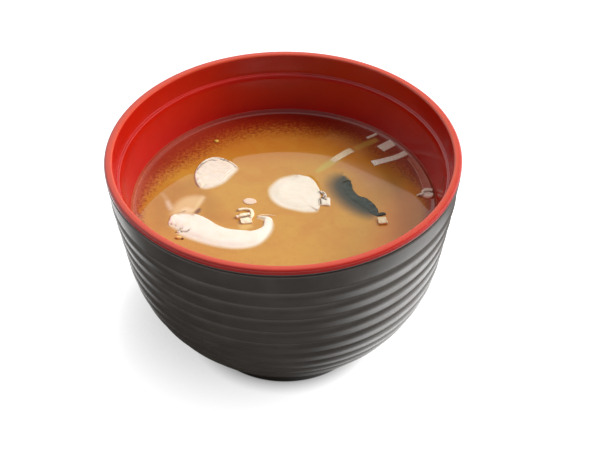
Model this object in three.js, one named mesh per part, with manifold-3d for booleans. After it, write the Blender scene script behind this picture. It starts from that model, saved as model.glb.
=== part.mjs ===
// A bowl of miso soup: a ribbed bowl of two shells, the broth, and what floats in it.
// Millimetres, +Z up. The origin is the middle of the foot's underside.
import * as THREE from 'three';
import * as BufferGeometryUtils from 'three/addons/utils/BufferGeometryUtils.js';
import { RoundedBoxGeometry } from 'three/addons/geometries/RoundedBoxGeometry.js';
import Module from 'manifold-3d';

const wasm = await Module();
wasm.setup();

// Driving sizes of the bowl

const bowlHeight = 75;
const bowlRadius = 55;
const aroundSteps = 52;
const gap = 0.3; // between pieces that touch

const lipHeight = 1.8; // the lip stands this far above the dark shell
const lipInnerRadius = 52.4;
const lipRounding = 0.8;
const lipCorner = 0.3;
const ledgeDepth = 5.1; // a small step inside, below the lip's base
const ledgeWidth = 1.1;

const grooveHeight = 0.8; // the dark line between lip and shell
const grooveRadius = 54.4;
const shoulderRadius = 54.9;

const footRadius = 28.1;
const footFlare = 0.8; // the foot is this much wider where it meets the bowl
const footInnerRadius = 25;
const footRecess = 3.5;
const floorHeight = 9.3; // the eating side of the floor
const floorThickness = 2.5;

// A wall falls straight at a draft angle and then bends in along an arc.
const outerWall = { topRadius: 55.55, draft: radians(7.8), straight: 32.7, bend: 50.8 };
const innerWall = { topRadius: 51.42, draft: radians(9.2), straight: 33, bend: 46 };
const shellThickness = 1.5;
const linerThickness = 2.1;

const creaseCount = 12;
const firstCreaseAt = 8.15; // along the wall, from the lip's base
const ribPitch = 5.58;
const upperRibExtra = 0.71; // the upper ribs are a little taller
const creaseInset = 0.5; // the creases lie this far inside the wall
const ribSamples = [0, 0.1, 0.42]; // parts of a rib's height that get a ring

const lipBase = bowlHeight - lipHeight;

// Driving sizes of the broth and its pieces

const soupDepth = 19.2; // below the lip's base
const soupLevel = lipBase - soupDepth;
const pocketTop = 4; // how far a pocket's cutter stands above the broth

function radians(degrees) {
  return degrees * Math.PI / 180;
}

// Walls and turned shapes

// A point of a wall's section, a distance along it and an offset outwards.
function wallPoint(wall, along, outwards = 0) {
  const straight = Math.min(along, wall.straight);
  const angle = wall.draft + Math.max(along - wall.straight, 0) / wall.bend;
  const inwards = straight * Math.sin(wall.draft) + wall.bend * (Math.cos(wall.draft) - Math.cos(angle));
  const depth = straight * Math.cos(wall.draft) + wall.bend * (Math.sin(angle) - Math.sin(wall.draft));
  return new THREE.Vector2(
    wall.topRadius - inwards + outwards * Math.cos(angle),
    lipBase - depth - outwards * Math.sin(angle),
  );
}

// How far along an offset wall a height is.
function alongAtHeight(wall, height, outwards) {
  let low = -bowlHeight / 10;
  let high = wall.straight + wall.bend * 1.3;
  for (let step = 0; step < 50; step += 1) {
    const middle = (low + high) / 2;
    if (wallPoint(wall, middle, outwards).y > height) {
      low = middle;
    } else {
      high = middle;
    }
  }
  return low;
}

function wallRun(wall, fromHeight, toHeight, outwards, steps) {
  const first = alongAtHeight(wall, fromHeight, outwards);
  const last = alongAtHeight(wall, toHeight, outwards);
  const points = [];
  for (let step = 0; step <= steps; step += 1) {
    points.push(wallPoint(wall, first + (last - first) * step / steps, outwards));
  }
  return points;
}

function arc(radius, height, size, fromDegrees, toDegrees, steps) {
  const points = [];
  for (let step = 0; step <= steps; step += 1) {
    const angle = radians(fromDegrees + (toDegrees - fromDegrees) * step / steps);
    points.push(new THREE.Vector2(radius + size * Math.cos(angle), height + size * Math.sin(angle)));
  }
  return points;
}

function turned(profile) {
  return new THREE.LatheGeometry(profile, aroundSteps).rotateX(Math.PI / 2);
}

// The dark outer shell: foot ring, ribbed wall and the groove under the lip

function creaseDistances() {
  const distances = [firstCreaseAt];
  for (let rib = 0; rib < creaseCount - 1; rib += 1) {
    distances.push(distances[rib] + ribPitch + upperRibExtra * Math.exp(-rib / 2));
  }
  return distances;
}

// Each rib swells quickly under its upper crease and tapers in to the next one.
function ribbedWall(endAlong) {
  const creases = [...creaseDistances(), endAlong];
  const points = [];
  for (let rib = 0; rib < creaseCount; rib += 1) {
    const height = creases[rib + 1] - creases[rib];
    for (const part of ribSamples) {
      const inset = creaseInset * (1 - Math.sin(Math.PI * Math.sqrt(part)));
      points.push(wallPoint(outerWall, creases[rib] + part * height, -inset));
    }
  }
  return points;
}

function shellProfile() {
  const shellTop = lipBase - gap;
  const shoulder = lipBase - grooveHeight;
  const linerUnderside = floorHeight - floorThickness;
  const footTop = footRadius + footFlare;
  let end = outerWall.straight;
  while (wallPoint(outerWall, end).x > footTop) {
    end += 0.1;
  }
  const chamfer = 0.3;
  return [
    new THREE.Vector2(0, footRecess),
    new THREE.Vector2(footInnerRadius - chamfer, footRecess),
    new THREE.Vector2(footInnerRadius, chamfer),
    new THREE.Vector2(footInnerRadius + chamfer, 0),
    new THREE.Vector2(footRadius - chamfer, 0),
    new THREE.Vector2(footRadius, chamfer),
    wallPoint(outerWall, end),
    ...ribbedWall(end).reverse(),
    new THREE.Vector2(shoulderRadius, shoulder - lipCorner),
    new THREE.Vector2(shoulderRadius - lipCorner, shoulder),
    new THREE.Vector2(grooveRadius, shoulder),
    new THREE.Vector2(grooveRadius, shellTop),
    ...wallRun(outerWall, shellTop, linerUnderside - gap, -shellThickness, 7),
    new THREE.Vector2(0, linerUnderside - gap),
  ];
}

// The red liner: the lip, the ledge inside it and the eating side

function linerProfile() {
  const ledgeHeight = lipBase - ledgeDepth;
  const ledgeRadius = wallPoint(innerWall, alongAtHeight(innerWall, ledgeHeight, 0)).x;
  const lipSide = bowlHeight - lipRounding;
  const soften = ledgeWidth / 4;
  return [
    new THREE.Vector2(0, floorHeight - floorThickness),
    ...wallRun(innerWall, lipBase, floorHeight - floorThickness, linerThickness, 7).reverse(),
    new THREE.Vector2(bowlRadius - lipCorner, lipBase),
    new THREE.Vector2(bowlRadius, lipBase + lipCorner),
    ...arc(bowlRadius - lipRounding, lipSide, lipRounding, 0, 90, 2),
    ...arc(lipInnerRadius + lipRounding, lipSide, lipRounding, 90, 180, 2),
    new THREE.Vector2(ledgeRadius + ledgeWidth, ledgeHeight + 2 * soften),
    new THREE.Vector2(ledgeRadius + ledgeWidth - soften, ledgeHeight + soften),
    new THREE.Vector2(ledgeRadius + soften, ledgeHeight),
    ...wallRun(innerWall, ledgeHeight - soften, floorHeight, 0, 8),
    new THREE.Vector2(0, floorHeight),
  ];
}

// Pieces that lie along a spine, whose rows are x, y and half width.
// A piece's rise and sink are how far it reaches above and below the top of the broth.

// A closed skin over rings that all have the same number of points.
function skin(rings) {
  const around = rings[0].length;
  const positions = [];
  const faces = [];
  for (const ring of rings) {
    ring.forEach((point) => positions.push(point.x, point.y, point.z));
  }
  for (let row = 0; row < rings.length - 1; row += 1) {
    for (let side = 0; side < around; side += 1) {
      const a = row * around + side;
      const b = row * around + (side + 1) % around;
      faces.push(a, b, b + around, a, b + around, a + around);
    }
  }
  for (const row of [0, rings.length - 1]) {
    const middle = new THREE.Vector3();
    rings[row].forEach((point) => middle.addScaledVector(point, 1 / around));
    const centre = positions.length / 3;
    positions.push(middle.x, middle.y, middle.z);
    for (let side = 0; side < around; side += 1) {
      const a = row * around + side;
      const b = row * around + (side + 1) % around;
      faces.push(centre, row === 0 ? b : a, row === 0 ? a : b);
    }
  }
  const geometry = new THREE.BufferGeometry();
  geometry.setAttribute('position', new THREE.Float32BufferAttribute(positions, 3));
  geometry.setIndex(faces);
  return geometry;
}

// Evenly spaced places along a spine, each with its middle, side direction and half width.
// The sections cross the spine squarely, or all lie along X where the piece says so.
function spinePlaces({ rows, steps, levelSections = false }) {
  const curve = new THREE.CatmullRomCurve3(rows.map((row) => new THREE.Vector3(...row)));
  const places = [];
  for (let step = 0; step <= steps; step += 1) {
    const point = curve.getPointAt(step / steps);
    const tangent = curve.getTangentAt(step / steps).setZ(0).normalize();
    places.push({
      middle: new THREE.Vector2(point.x, point.y),
      forward: new THREE.Vector2(tangent.x, tangent.y),
      side: levelSections ? new THREE.Vector2(-1, 0) : new THREE.Vector2(-tangent.y, tangent.x),
      halfWidth: point.z,
    });
  }
  return places;
}

// A slice has a domed upper face, a rounded edge at the broth and a part below it.
function sliceGeometry(slice) {
  const rings = spinePlaces(slice).map((place) => {
    const ring = [];
    for (let corner = 0; corner < slice.sides; corner += 1) {
      const angle = 2 * Math.PI * (corner + 0.5) / slice.sides;
      const across = Math.sign(Math.cos(angle)) * Math.abs(Math.cos(angle)) ** slice.roundness;
      const upright = Math.sign(Math.sin(angle)) * Math.abs(Math.sin(angle)) ** slice.roundness;
      const taper = Math.min(1, place.halfWidth / slice.fullWidth) ** 0.5;
      const height = upright > 0 ? upright * slice.rise : upright * slice.sink;
      const flat = place.middle.clone().addScaledVector(place.side, place.halfWidth * across);
      ring.push(new THREE.Vector3(flat.x, flat.y, soupLevel + height * taper));
    }
    return ring;
  });
  return skin(rings);
}

// A leaf is thin and wavy, and both of its faces are split into triangles alike.
function leafGeometry(leaf) {
  const places = spinePlaces(leaf);
  const across = leaf.across;
  const perFace = places.length * (across + 1);
  const positions = [];
  const faces = [];
  for (const face of [1, -1]) {
    places.forEach((place, row) => {
      for (let column = 0; column <= across; column += 1) {
        const part = 2 * column / across - 1;
        const wave = leaf.wave * Math.sin(leaf.wavesAlong * row + leaf.wavesAcross * part);
        const flat = place.middle.clone().addScaledVector(place.side, part * place.halfWidth);
        const height = soupLevel + leaf.lift + wave + face * leaf.thickness / 2;
        positions.push(flat.x, flat.y, height);
      }
    });
  }
  const at = (row, column) => row * (across + 1) + column;
  for (let row = 0; row < places.length - 1; row += 1) {
    for (let column = 0; column < across; column += 1) {
      const corners = [at(row, column), at(row + 1, column), at(row + 1, column + 1), at(row, column + 1)];
      const [a, b, c, d] = corners;
      faces.push(a, b, c, a, c, d);
      faces.push(a + perFace, c + perFace, b + perFace, a + perFace, d + perFace, c + perFace);
    }
  }
  const rows = places.map((place, row) => row);
  const inner = [...Array(across - 1).keys()].map((column) => column + 1);
  const rim = [
    ...rows.map((row) => at(row, 0)),
    ...inner.map((column) => at(places.length - 1, column)),
    ...rows.map((row) => at(row, across)).reverse(),
    ...inner.map((column) => at(0, column)).reverse(),
  ];
  rim.forEach((a, index) => {
    const b = rim[(index + 1) % rim.length];
    faces.push(b, a, a + perFace, b, a + perFace, b + perFace);
  });
  const geometry = new THREE.BufferGeometry();
  geometry.setAttribute('position', new THREE.Float32BufferAttribute(positions, 3));
  geometry.setIndex(faces);
  return geometry;
}

// The pocket that a piece takes out of the broth, open at the top.
function pocketGeometry(piece, sink) {
  const places = spinePlaces(piece);
  const last = places.length - 1;
  places[0].middle.addScaledVector(places[0].forward, -gap);
  places[last].middle.addScaledVector(places[last].forward, gap);
  const rings = places.map((place) => {
    const reach = place.halfWidth + gap;
    const left = place.middle.clone().addScaledVector(place.side, reach);
    const right = place.middle.clone().addScaledVector(place.side, -reach);
    const low = soupLevel - sink - gap;
    const high = soupLevel + pocketTop;
    return [
      new THREE.Vector3(left.x, left.y, low),
      new THREE.Vector3(left.x, left.y, high),
      new THREE.Vector3(right.x, right.y, high),
      new THREE.Vector3(right.x, right.y, low),
    ];
  });
  return skin(rings);
}

// Joining and cutting

function toSolid(geometry) {
  const bare = geometry.clone();
  bare.deleteAttribute('normal');
  bare.deleteAttribute('uv');
  const merged = BufferGeometryUtils.mergeVertices(bare, 1e-4);
  return new wasm.Manifold(new wasm.Mesh({
    numProp: 3,
    vertProperties: new Float32Array(merged.attributes.position.array),
    triVerts: new Uint32Array(merged.index.array),
  }));
}

function toGeometry(solid) {
  const mesh = solid.getMesh();
  const geometry = new THREE.BufferGeometry();
  geometry.setAttribute('position', new THREE.BufferAttribute(mesh.vertProperties, 3));
  geometry.setIndex(new THREE.BufferAttribute(mesh.triVerts, 1));
  return geometry;
}

function joined(geometries) {
  const solids = geometries.map(toSolid);
  return toGeometry(solids.slice(1).reduce((whole, solid) => whole.add(solid), solids[0]));
}

// Mushroom slices

const sliceShape = { steps: 16, sides: 10, roundness: 0.65, fullWidth: 3 };

const mushroomLeft = {
  ...sliceShape,
  levelSections: true,
  rows: [
    [-25.2, 6.4, 0.6], [-24.9, 7.2, 2.4], [-23.9, 9.6, 4.7], [-23.1, 13.2, 6.2],
    [-21.9, 17, 6.9], [-22.3, 20.2, 5.1], [-22.7, 22.2, 2.8], [-22.9, 23.2, 0.6],
  ],
  rise: 1,
  sink: 2.4,
};

const mushroomCentre = {
  ...sliceShape,
  levelSections: true,
  rows: [
    [8.1, -5.4, 1.5], [7.6, -4.8, 3.2], [5.3, -2.7, 6.1], [3.9, 0.5, 7.8], [3.4, 3.5, 8.4],
    [3.1, 6.5, 8.2], [3.3, 9.5, 6.9], [3.6, 12.1, 4.9], [3.8, 13.8, 0.8],
  ],
  rise: 1.4,
  sink: 3.2,
};

const mushroomFrill = {
  ...sliceShape,
  rows: [[10.6, 4.5, 0.7], [12.5, 4.2, 0.7], [13.1, 2.7, 0.6], [12.3, 1.5, 0.6]],
  steps: 6,
  sides: 6,
  rise: 1,
  sink: 1,
};

const mushroomFlap = {
  ...sliceShape,
  rows: [[10.8, -0.5, 1.6], [12.9, -0.4, 1.9], [14.5, -0.3, 2.3], [15.4, -0.3, 2.1]],
  steps: 4,
  sides: 8,
  rise: 0.7,
  sink: 1,
};

const mushroomFront = {
  ...sliceShape,
  rows: [
    [-34.9, -9.1, 2.9], [-32.1, -9.6, 5], [-28.2, -12.1, 5.5], [-23.6, -15.2, 4.9], [-19.1, -17.3, 4.5],
    [-14.2, -18.3, 4.4], [-9.9, -17.9, 3.9], [-7, -15.9, 2.8], [-5.1, -13, 1.9], [-4.7, -10.4, 1.6],
    [-5.4, -8.5, 1.3], [-7, -7.8, 0.7], [-8.5, -7.8, 0.25],
  ],
  steps: 30,
  rise: 1.2,
  sink: 2.8,
};

// Seaweed

const wakame = {
  rows: [
    [19.7, 12.4, 1.7], [19.3, 8.8, 2.5], [19.9, 4.9, 2.5], [22, 1.3, 2.4],
    [24.5, -1.1, 3], [26.6, -3.7, 2.8], [28.3, -6.1, 2], [29.6, -7.3, 0.9],
  ],
  steps: 14,
  across: 5,
  thickness: 0.5,
  lift: 0,
  wave: 0.22,
  wavesAlong: 0.75,
  wavesAcross: 1.4,
};

// Shreds of leek

const shredShape = { steps: 6, sides: 4, roundness: 0.01, fullWidth: 0.1, rise: 0.4, sink: 0.6 };

const leekLong = {
  ...shredShape,
  rows: [[10, 14.6, 1.1], [15.7, 20.6, 1.2], [23.1, 27.2, 1.3], [30.4, 31.9, 1.1]],
  steps: 10,
};
const leekWide = { ...shredShape, rows: [[32.1, 27.3, 1.8], [34.4, 29.1, 1.8], [36.4, 30.6, 1.7]] };
const leekBent = {
  ...shredShape,
  rows: [[29.1, 19.4, 1.4], [33.3, 21, 1.2], [37.3, 22.8, 1.2], [40.5, 25, 1.2]],
};
const leekSmall = { ...shredShape, rows: [[27.8, 33.2, 0.5], [29.5, 34.3, 0.5], [31.2, 35.5, 0.5]] };
const lumpShape = { steps: 5, sides: 6, roundness: 0.65, fullWidth: 1, rise: 0.8, sink: 0.8 };

const leekBit = {
  ...lumpShape,
  rows: [[-13, 0.6, 0.4], [-12.1, 0.4, 1.3], [-10.9, 0.2, 1.6], [-9.7, 0, 1.3], [-8.8, -0.2, 0.4]],
  steps: 6,
  rise: 0.5,
};

// A strip that hugs the wall of the bowl, as part of a ring. It widens towards the front.
const bandRadius = 46.95;
const bandHalfWidth = 0.9;
const bandWidening = 0.15;
const leekBand = {
  ...shredShape,
  rows: [28.3, 22.9, 17.5, 12, 7.2].map((degrees, index) => {
    const halfWidth = bandHalfWidth + bandWidening * index;
    const radius = bandRadius - 0.9 * (halfWidth - bandHalfWidth);
    return [radius * Math.cos(radians(degrees)), radius * Math.sin(radians(degrees)), halfWidth];
  }),
  steps: 10,
  rise: 0.8,
};

const leekCurlLobes = [
  { ...lumpShape, rows: [[44.3, 4.1, 0.6], [45.9, 4.6, 1.3], [47.6, 4.4, 0.8]], rise: 1 },
  { ...lumpShape, rows: [[42.5, 2.5, 0.3], [44.7, 2.9, 1.1], [46.5, 2.7, 1.4], [47.7, 2.9, 0.7]] },
];

const leekCrumbs = [
  {
    ...lumpShape,
    rows: [[-14.4, -4.3, 0.45], [-12.5, -3.8, 0.5], [-10.5, -4.4, 0.6], [-9.9, -6.4, 0.6], [-10.5, -8.2, 0.6]],
  },
  { ...lumpShape, rows: [[-14.9, -7.9, 0.5], [-13, -7.1, 0.8], [-10.7, -6.4, 0.6]], steps: 3, rise: 1 },
  { ...lumpShape, rows: [[-13.5, -9.8, 1.2], [-11.8, -9.4, 1.5], [-10, -9.2, 1.4]], steps: 3, rise: 0.6 },
];

// Tofu

const tofu = {
  x: 30.9,
  y: -9.9,
  width: 2.9,
  depth: 3,
  height: 2.2,
  rise: 0.8,
  rounding: 0.3,
  turn: radians(8),
};

function tofuGeometry(extra) {
  const geometry = new RoundedBoxGeometry(
    tofu.width + 2 * extra,
    tofu.depth + 2 * extra,
    tofu.height + 2 * extra,
    1,
    tofu.rounding,
  );
  geometry.rotateZ(tofu.turn);
  geometry.translate(tofu.x, tofu.y, soupLevel + tofu.rise - tofu.height / 2);
  return geometry;
}

// The broth, with a pocket round each piece

function soupGeometry() {
  const bottom = floorHeight + gap;
  let soup = toSolid(turned([
    new THREE.Vector2(0, bottom),
    ...wallRun(innerWall, soupLevel, bottom, -gap, 7).reverse(),
    new THREE.Vector2(0, soupLevel),
  ]));
  const pieces = [
    mushroomLeft, mushroomCentre, mushroomFrill, mushroomFlap, mushroomFront,
    leekLong, leekWide, leekBent, leekSmall, leekBit, leekBand, ...leekCurlLobes, ...leekCrumbs,
  ];
  for (const piece of pieces) {
    soup = soup.subtract(toSolid(pocketGeometry(piece, piece.sink)));
  }
  soup = soup.subtract(toSolid(pocketGeometry(wakame, wakame.thickness / 2 + wakame.wave)));
  soup = soup.subtract(toSolid(tofuGeometry(gap)));
  return toGeometry(soup);
}

// The whole

const shellFinish = { color: 0x2f2c2b, roughness: 0.45, metalness: 0 };
const liner = { color: 0xb81a10, roughness: 0.15, metalness: 0 };
const broth = { color: 0xc98f52, roughness: 0.08, metalness: 0 };
const mushroomFlesh = { color: 0xf7e8d6, roughness: 0.4, metalness: 0 };
const seaweed = { color: 0x2e4638, roughness: 0.3, metalness: 0 };
const leekFlesh = { color: 0xd9d3b0, roughness: 0.3, metalness: 0 };
const beanCurd = { color: 0xf0e0bd, roughness: 0.5, metalness: 0 };

const group = new THREE.Group();

function addPiece(name, geometry, finish) {
  const mesh = new THREE.Mesh(geometry, new THREE.MeshStandardMaterial(finish));
  mesh.name = name;
  group.add(mesh);
}

addPiece('bowl_shell', turned(shellProfile()), shellFinish);
addPiece('bowl_liner', turned(linerProfile()), liner);
addPiece('soup', soupGeometry(), broth);
addPiece('mushroom_slice_left', sliceGeometry(mushroomLeft), mushroomFlesh);
addPiece(
  'mushroom_slice_centre',
  joined([mushroomCentre, mushroomFrill, mushroomFlap].map(sliceGeometry)),
  mushroomFlesh,
);
addPiece('mushroom_slice_front', sliceGeometry(mushroomFront), mushroomFlesh);
addPiece('wakame_leaf', leafGeometry(wakame), seaweed);
addPiece('leek_shred_long', sliceGeometry(leekLong), leekFlesh);
addPiece('leek_shred_wide', sliceGeometry(leekWide), leekFlesh);
addPiece('leek_shred_bent', sliceGeometry(leekBent), leekFlesh);
addPiece('leek_shred_small', sliceGeometry(leekSmall), leekFlesh);
addPiece('leek_bit', sliceGeometry(leekBit), leekFlesh);
addPiece('leek_band', sliceGeometry(leekBand), leekFlesh);
addPiece('leek_curl', joined(leekCurlLobes.map(sliceGeometry)), leekFlesh);
addPiece('leek_crumbs', joined(leekCrumbs.map(sliceGeometry)), leekFlesh);
addPiece('tofu_cube', tofuGeometry(0), beanCurd);

export default group;
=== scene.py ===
# A bowl of miso soup: ribbed bowl, cloudy broth, mushroom, seaweed, leek and tofu.
import math
import bmesh
import bpy
import numpy as np
from mathutils import Matrix, Vector, noise


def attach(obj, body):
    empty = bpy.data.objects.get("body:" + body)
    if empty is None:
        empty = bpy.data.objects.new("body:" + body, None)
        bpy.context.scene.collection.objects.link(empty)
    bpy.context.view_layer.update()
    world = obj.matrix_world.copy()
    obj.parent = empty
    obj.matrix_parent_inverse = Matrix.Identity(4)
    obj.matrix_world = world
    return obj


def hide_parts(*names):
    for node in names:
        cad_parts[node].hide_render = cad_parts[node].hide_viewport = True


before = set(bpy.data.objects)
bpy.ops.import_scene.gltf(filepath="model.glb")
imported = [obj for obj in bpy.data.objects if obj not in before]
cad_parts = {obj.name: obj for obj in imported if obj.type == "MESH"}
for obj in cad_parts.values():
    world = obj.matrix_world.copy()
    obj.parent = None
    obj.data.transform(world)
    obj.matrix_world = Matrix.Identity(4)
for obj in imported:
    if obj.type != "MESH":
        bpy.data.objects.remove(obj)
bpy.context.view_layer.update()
mm = 0.001  # sizes are in millimetres, and in metres only in the room

# The bowl's sizes, the same as its solids have
bowl = {
    "height": 75, "radius": 55, "around": 256,
    "lipBase": 73.2, "lipInner": 52.4, "lipRounding": 0.8, "lipCorner": 0.3,
    "ledgeDepth": 5.1, "ledgeWidth": 1.1, "ledgeHollow": 0.4, "ledgeRounding": 0.6,
    "grooveHeight": 0.8, "groove": 54.4, "shoulder": 54.9, "shoulderRounding": 0.45, "gap": 0.3,
    "foot": 28.1, "footFlare": 0.8, "footRounding": 0.5,
    "footInner": 25, "footRecess": 3.5, "recessRounding": 0.6, "recessRing": 12,
    "floor": 9.3, "floorRing": 20, "floorThickness": 2.5, "shellThickness": 1.5, "linerThickness": 2.1,
}
outerWall = {"top": 55.55, "draft": math.radians(7.8), "straight": 32.7, "bend": 50.8}
innerWall = {"top": 51.42, "draft": math.radians(9.2), "straight": 33, "bend": 46}
# named as the inputs of the node tree that makes the ribs
ribs = {"Ribs": 12, "Rows in a rib": 14, "First crease": 8.15, "Pitch": 5.58, "Upper extra": 0.71,
        "Crease depth": 0.45, "Shoulder": 0.4}
broth = {"level": 54.0, "wallRise": 1.5, "reach": 0.42, "sliceRise": 0.04, "sliceReach": 0.7,
         "thinNear": 1.6, "thinFar": 15, "thinSides": 3.8,
         "overlap": 0.06, "rings": 0.5, "fineZone": 5, "fineRings": 22, "around": 512}


def eased(low, high, value):
    t = np.clip((value - low) / (high - low), 0, 1)
    return t * t * (3 - 2 * t)


def wallPoint(wall, along, outwards=0.0):
    # radius and height after a run down the wall, which is straight first and then bends in
    draft = wall["draft"]
    straight = min(along, wall["straight"])
    angle = draft + max(along - wall["straight"], 0) / wall["bend"]
    inwards = straight * math.sin(draft) + wall["bend"] * (math.cos(draft) - math.cos(angle))
    depth = straight * math.cos(draft) + wall["bend"] * (math.sin(angle) - math.sin(draft))
    return (wall["top"] - inwards + outwards * math.cos(angle),
            bowl["lipBase"] - depth - outwards * math.sin(angle))


def alongAtHeight(wall, height, outwards=0.0):
    # halves the stretch from just over the lip to the middle of the floor until it finds the height
    low, high = -8.0, wall["straight"] + wall["bend"] * 1.3
    for _ in range(50):
        middle = (low + high) / 2
        if wallPoint(wall, middle, outwards)[1] > height:
            low = middle
        else:
            high = middle
    return low


def wallRun(wall, top, bottom, outwards, steps):
    ends = alongAtHeight(wall, top, outwards), alongAtHeight(wall, bottom, outwards)
    return [wallPoint(wall, along, outwards) for along in np.linspace(*ends, steps + 1)]


def rounding(radius, height, size, fromDegrees, toDegrees, steps):
    turn = np.radians(np.linspace(fromDegrees, toDegrees, steps + 1))
    return [(radius + size * math.cos(a), height + size * math.sin(a)) for a in turn]


# Meshes

def ringFaces(rings):
    # a ring that is one point all round makes a pole
    faces = []
    for lower, upper in zip(rings, rings[1:]):
        for corners in zip(lower, lower[1:] + lower[:1], upper[1:] + upper[:1], upper):
            faces.append(tuple(dict.fromkeys(corners)))
    return faces


def turned(profile, around):
    points, rings = [], []
    turn = np.arange(around) * 2 * np.pi / around
    for radius, height in profile:
        start = len(points)
        if radius < 1e-6:
            points.append((0, 0, height))
            rings.append([start] * around)
        else:
            points.extend(zip(radius * np.cos(turn), radius * np.sin(turn), [height] * around))
            rings.append(list(range(start, start + around)))
    return points, ringFaces(rings)


def newMesh(name, points, faces):
    mesh = bpy.data.meshes.new(name)
    mesh.from_pydata((np.array(points) * mm).tolist(), [], faces)
    return mesh


def newObject(name, data):
    thing = bpy.data.objects.new(name, data)
    bpy.context.scene.collection.objects.link(thing)
    return thing


def newPiece(name, points, faces, material, replaced=(), marks=None):
    mesh = newMesh(name, points, faces)
    for markName, values in (marks or {}).items():
        kind, field = "FLOAT", "value"
        values = np.asarray(values, float)
        if values.ndim == 2:
            kind, field = "FLOAT_COLOR", "color"
            values = np.c_[values, np.ones(len(values))]
        mesh.attributes.new(markName, kind, "POINT").data.foreach_set(field, values.ravel())
    mesh.materials.append(material)
    mesh.shade_smooth()
    pointFacesOut(mesh)
    fit(newObject(name, mesh), replaced)


def fit(piece, replaced=()):
    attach(piece, "root")
    if replaced:
        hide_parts(*replaced)


def pointFacesOut(mesh, hardOver=math.pi):
    # edges that turn by more than hardOver keep a hard line
    work = bmesh.new()
    work.from_mesh(mesh)
    bmesh.ops.recalc_face_normals(work, faces=work.faces)
    for edge in work.edges:
        if len(edge.link_faces) == 2 and edge.calc_face_angle(0) > hardOver:
            edge.smooth = False
    work.to_mesh(mesh)
    work.free()


# Node trees

class Reading:
    # a number in a node tree, so that sums are written as plain formulas
    def __init__(self, socket):
        self.socket, self.tree = socket, socket.id_data

    def run(self, operation, *others):
        node = put(self.tree, "ShaderNodeMath", {"operation": operation})
        for slot, value in zip(node.inputs, (self, *others)):
            wire(slot, value)
        return Reading(node.outputs[0])

    def __add__(self, other): return self.run("ADD", other)
    def __sub__(self, other): return self.run("SUBTRACT", other)
    def __rsub__(self, other): return self.run("MULTIPLY", -1.0).run("ADD", other)
    def __mul__(self, other): return self.run("MULTIPLY", other)
    def __truediv__(self, other): return self.run("DIVIDE", other)
    __radd__, __rmul__ = __add__, __mul__

    def between(self, low, high, toLow=0.0, toHigh=1.0):
        # an eased step, from one number below the range to another above it
        node = put(self.tree, "ShaderNodeMapRange", {"interpolation_type": "SMOOTHSTEP"}, Value=self,
                   From_Min=low, From_Max=high, To_Min=toLow, To_Max=toHigh)
        return Reading(node.outputs[0])


def wire(slot, value):
    if isinstance(value, Reading):
        value = value.socket
    if isinstance(value, bpy.types.NodeSocket):
        slot.id_data.links.new(value, slot)
    else:
        slot.default_value = value


def put(tree, kind, settings=None, **inputs):
    # an underscore in an input's name stands for a space
    node = tree.nodes.new(kind)
    for key, value in (settings or {}).items():
        setattr(node, key, value)
    for key, value in inputs.items():
        wire(node.inputs[key.replace("_", " ")], value)
    return node


def newMaterial(name, **fixed):
    material = bpy.data.materials.new(name)
    material.use_nodes = True
    shader = material.node_tree.nodes["Principled BSDF"]
    for key, value in fixed.items():
        wire(shader.inputs[key.replace("_", " ")], value)
    return material, material.node_tree, shader


def mark(tree, name, output="Fac"):
    return Reading(put(tree, "ShaderNodeAttribute", {"attribute_name": name}).outputs[output])


def partsOf(tree, vector):
    return [Reading(output) for output in put(tree, "ShaderNodeSeparateXYZ", Vector=vector).outputs]


def placeOf(tree, turn=0.0):
    # the piece's own coordinates in millimetres
    place = put(tree, "ShaderNodeTexCoord").outputs["Object"]
    return put(tree, "ShaderNodeMapping", Vector=place, Rotation=(0, 0, turn), Scale=(1 / mm,) * 3).outputs[0]


def noiseOn(tree, place, scale, **settings):
    return Reading(put(tree, "ShaderNodeTexNoise", Vector=place, Scale=scale, **settings).outputs[0])


def grainOf(tree, size, detail=3.0, **settings):
    # noise with a size in millimetres
    return noiseOn(tree, placeOf(tree), 1 / size, Detail=detail, **settings)


def blended(amount, first, second):
    node = put(amount.tree, "ShaderNodeMix", {"data_type": "RGBA"})
    wire(node.inputs[0], amount)
    for slot, colour in zip((node.inputs[6], node.inputs[7]), (first, second)):
        wire(slot, (*colour, 1) if isinstance(colour, tuple) else colour)
    return node.outputs[2]


def paint(shader, mottling, look, *marks, **layers):
    # the look's mottled colour, then its layers and its marks, each in the colour of its name
    colour = blended(mottling, look["main"], look["mottle"])
    layers.update((name, mark(shader.id_data, name)) for name in marks)
    for name, amount in layers.items():
        colour = blended(amount, colour, look[name])
    wire(shader.inputs["Base Color"], colour)


def bumpFrom(shader, height, strength, distance):
    node = put(height.tree, "ShaderNodeBump", Strength=strength, Distance=distance * mm, Height=height)
    wire(shader.inputs["Normal"], node.outputs[0])


# The dark outer shell. Its ribs come from a node tree that also closes the turned foot and top.
shellLook = {"main": (0.050, 0.040, 0.032), "mottle": (0.064, 0.052, 0.042)}


def shellMaterial():
    material, tree, shader = newMaterial("darkPlastic", Specular_IOR_Level=0.5, IOR=1.5)
    cloud = grainOf(tree, 9, detail=4)
    paint(shader, cloud.between(0.35, 0.7), shellLook)
    wire(shader.inputs["Roughness"], cloud.between(0.3, 0.7, 0.28, 0.36))
    bumpFrom(shader, grainOf(tree, 0.22, detail=2), 0.25, 0.012)
    return material


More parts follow.
